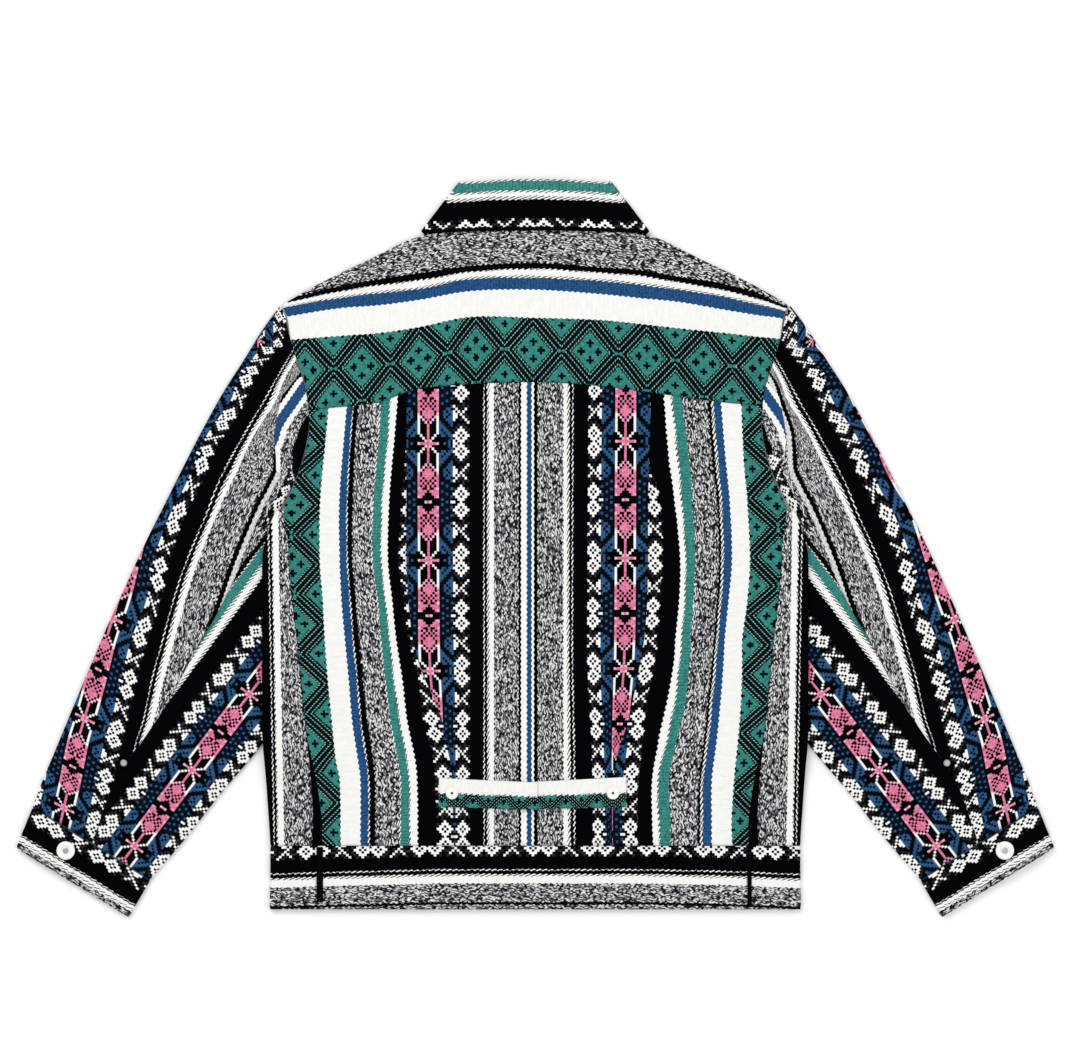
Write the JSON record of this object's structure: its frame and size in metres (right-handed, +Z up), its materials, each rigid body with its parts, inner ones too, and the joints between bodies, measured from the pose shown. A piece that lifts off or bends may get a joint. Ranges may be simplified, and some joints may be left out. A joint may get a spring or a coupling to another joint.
{
  "type": "jacquard jacket",
  "caption": "Short boxy collared jacket in striped jacquard cloth, laid flat with its back up; worn over the upper body for warmth.",
  "frame": {"origin": "middle of the jacket's footprint, on the table it lies on", "axes": "+Z up out of the jacket's back, +Y towards the collar, +X across the back towards the wearer's right sleeve"},
  "size_m": [1.0808, 0.7652, 0.0122],
  "materials": {
    "jacquard": "matt woven cotton with stripes, marl and small repeats",
    "jacquard_white": "matt woven cotton, white above and green below",
    "black_tape": "matt black binding",
    "button": "smooth off-white",
    "stud": "satin metal"
  },
  "bodies": {
    "root": {"collar_fall": "jacquard", "collar_stand": "jacquard", "back_yoke": "jacquard", "back_centre": "jacquard", "waistband_back": "jacquard", "back_side_left": "jacquard", "side_left": "jacquard", "front_left": "jacquard", "waistband_left": "jacquard", "waist_tape_left": "black_tape", "back_tab_left": "jacquard_white", "tab_button_left": "button", "sleeve_upper_left": "jacquard", "sleeve_under_left": "jacquard", "cuff_left": "jacquard", "cuff_button_left": "button", "cuff_stud_left": "stud", "back_side_right": "jacquard", "side_right": "jacquard", "front_right": "jacquard", "waistband_right": "jacquard", "waist_tape_right": "black_tape", "back_tab_right": "jacquard_white", "tab_button_right": "button", "sleeve_upper_right": "jacquard", "sleeve_under_right": "jacquard", "cuff_right": "jacquard", "cuff_button_right": "button", "cuff_stud_right": "stud"}
  },
  "joints": []
}
